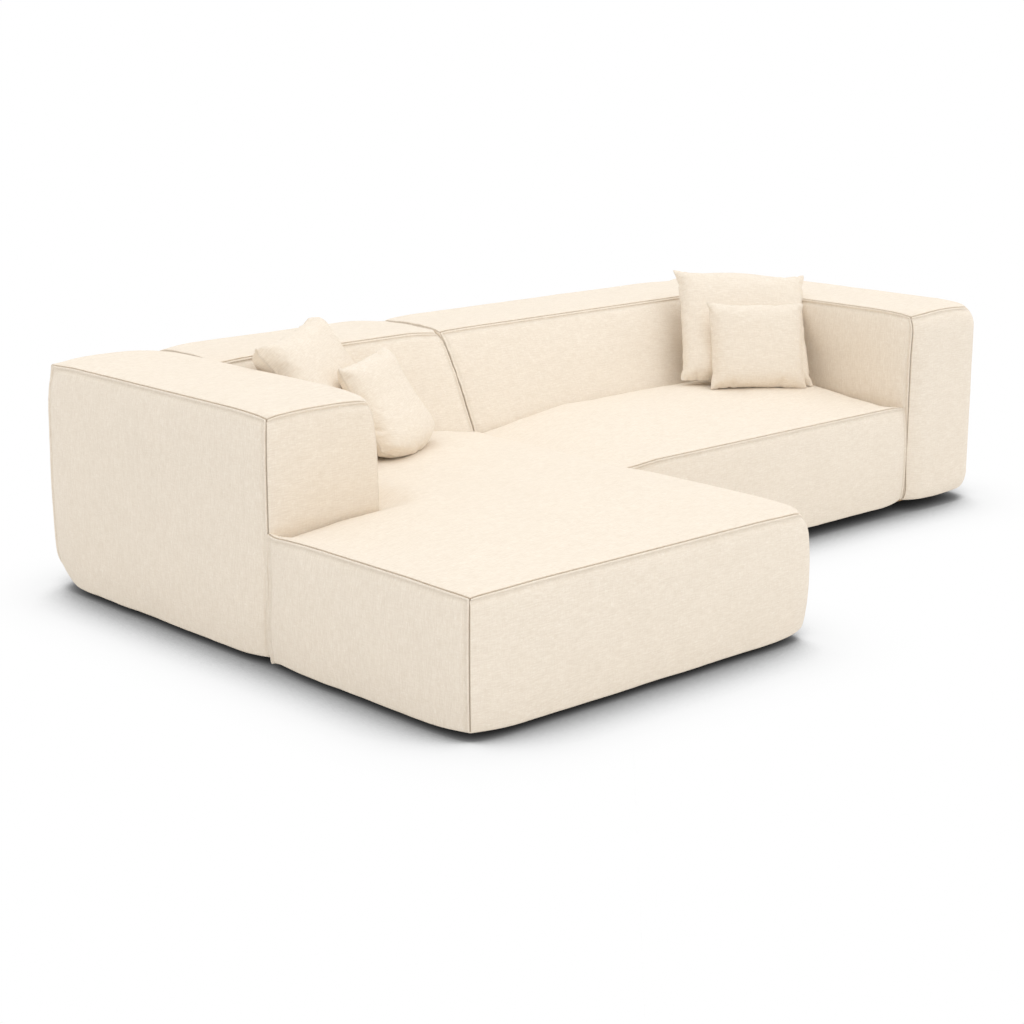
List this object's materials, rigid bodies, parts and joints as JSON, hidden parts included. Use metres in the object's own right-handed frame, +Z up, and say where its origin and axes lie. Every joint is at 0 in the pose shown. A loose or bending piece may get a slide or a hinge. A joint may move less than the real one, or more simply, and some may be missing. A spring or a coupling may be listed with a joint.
{
  "type": "l-shaped sofa",
  "caption": "Low L-shaped modular sofa: chaise module on the left, seat module with full-depth arm on the right, thick block arms and backs, loose scatter cushions.",
  "frame": {"origin": "on the floor, at the middle of the sofa's rectangular footprint", "axes": "+X to the right as seen by someone facing the sofa's front, +Y to the rear, +Z up"},
  "size_m": [3.089, 1.951, 0.8102],
  "materials": {
    "fabric": "cream linen-look plain weave with faint slubs",
    "foam": "cut polyurethane foam",
    "filling": "white fibre filling",
    "timber": "planed pine",
    "plywood": "sanded plywood",
    "webbing": "woven elastic webbing",
    "lining": "black non-woven dust cover",
    "plastic": "black moulded plastic",
    "steel": "zinc-plated pressed steel"
  },
  "bodies": {
    "chaise_module": {"chaise_front_rail": "timber", "chaise_rear_rail": "timber", "chaise_left_rail": "timber", "chaise_right_rail": "timber", "chaise_centre_rail": "timber", "chaise_dust_cover": "lining", "chaise_webbing": "webbing", "chaise_seat_foam": "foam", "chaise_seat_cover": "fabric", "chaise_foot_1": "plastic", "chaise_foot_2": "plastic", "chaise_foot_3": "plastic", "chaise_foot_4": "plastic", "chaise_foot_5": "plastic", "connector_pin_1": "steel", "connector_pin_2": "steel", "left_arm_outer_panel": "plywood", "left_arm_inner_panel": "plywood", "left_arm_top_board": "plywood", "left_arm_foam": "foam", "left_arm_cover": "fabric", "left_back_rear_panel": "plywood", "left_back_front_panel": "plywood", "left_back_top_board": "plywood", "left_back_foam": "foam", "left_back_cover": "fabric"},
    "right_module": {"right_front_rail": "timber", "right_rear_rail": "timber", "right_left_rail": "timber", "right_right_rail": "timber", "right_centre_rail": "timber", "right_dust_cover": "lining", "right_webbing": "webbing", "right_seat_foam": "foam", "right_seat_cover": "fabric", "right_foot_1": "plastic", "right_foot_2": "plastic", "right_foot_3": "plastic", "right_foot_4": "plastic", "connector_eye_1": "steel", "connector_eye_2": "steel", "right_arm_outer_panel": "plywood", "right_arm_inner_panel": "plywood", "right_arm_top_board": "plywood", "right_arm_foam": "foam", "right_arm_cover": "fabric", "right_back_rear_panel": "plywood", "right_back_front_panel": "plywood", "right_back_top_board": "plywood", "right_back_foam": "foam", "right_back_cover": "fabric"},
    "left_large_cushion": {"left_large_cover": "fabric", "left_large_filling": "filling"},
    "left_small_cushion": {"left_small_cover": "fabric", "left_small_filling": "filling"},
    "right_large_cushion": {"right_large_cover": "fabric", "right_large_filling": "filling"},
    "right_small_cushion": {"right_small_cover": "fabric", "right_small_filling": "filling"}
  },
  "joints": [
    {"name": "right_module_lift", "type": "slide", "parent": "chaise_module", "child": "right_module", "axis": [0, 0, 1], "range_m": [0, 0.12]},
    {"name": "left_large_cushion_lift", "type": "slide", "parent": "chaise_module", "child": "left_large_cushion", "axis": [0.2545, -0.4304, 0.866], "range_m": [0, 0.3]},
    {"name": "left_small_cushion_lift", "type": "slide", "parent": "left_large_cushion", "child": "left_small_cushion", "axis": [0.22, -0.449, 0.866], "range_m": [0, 0.3]},
    {"name": "right_large_cushion_lift", "type": "slide", "parent": "right_module", "child": "right_large_cushion", "axis": [-0.2818, -0.413, 0.866], "range_m": [0, 0.3]},
    {"name": "right_small_cushion_lift", "type": "slide", "parent": "right_large_cushion", "child": "right_small_cushion", "axis": [-0.2679, -0.4222, 0.866], "range_m": [0, 0.3]}
  ]
}
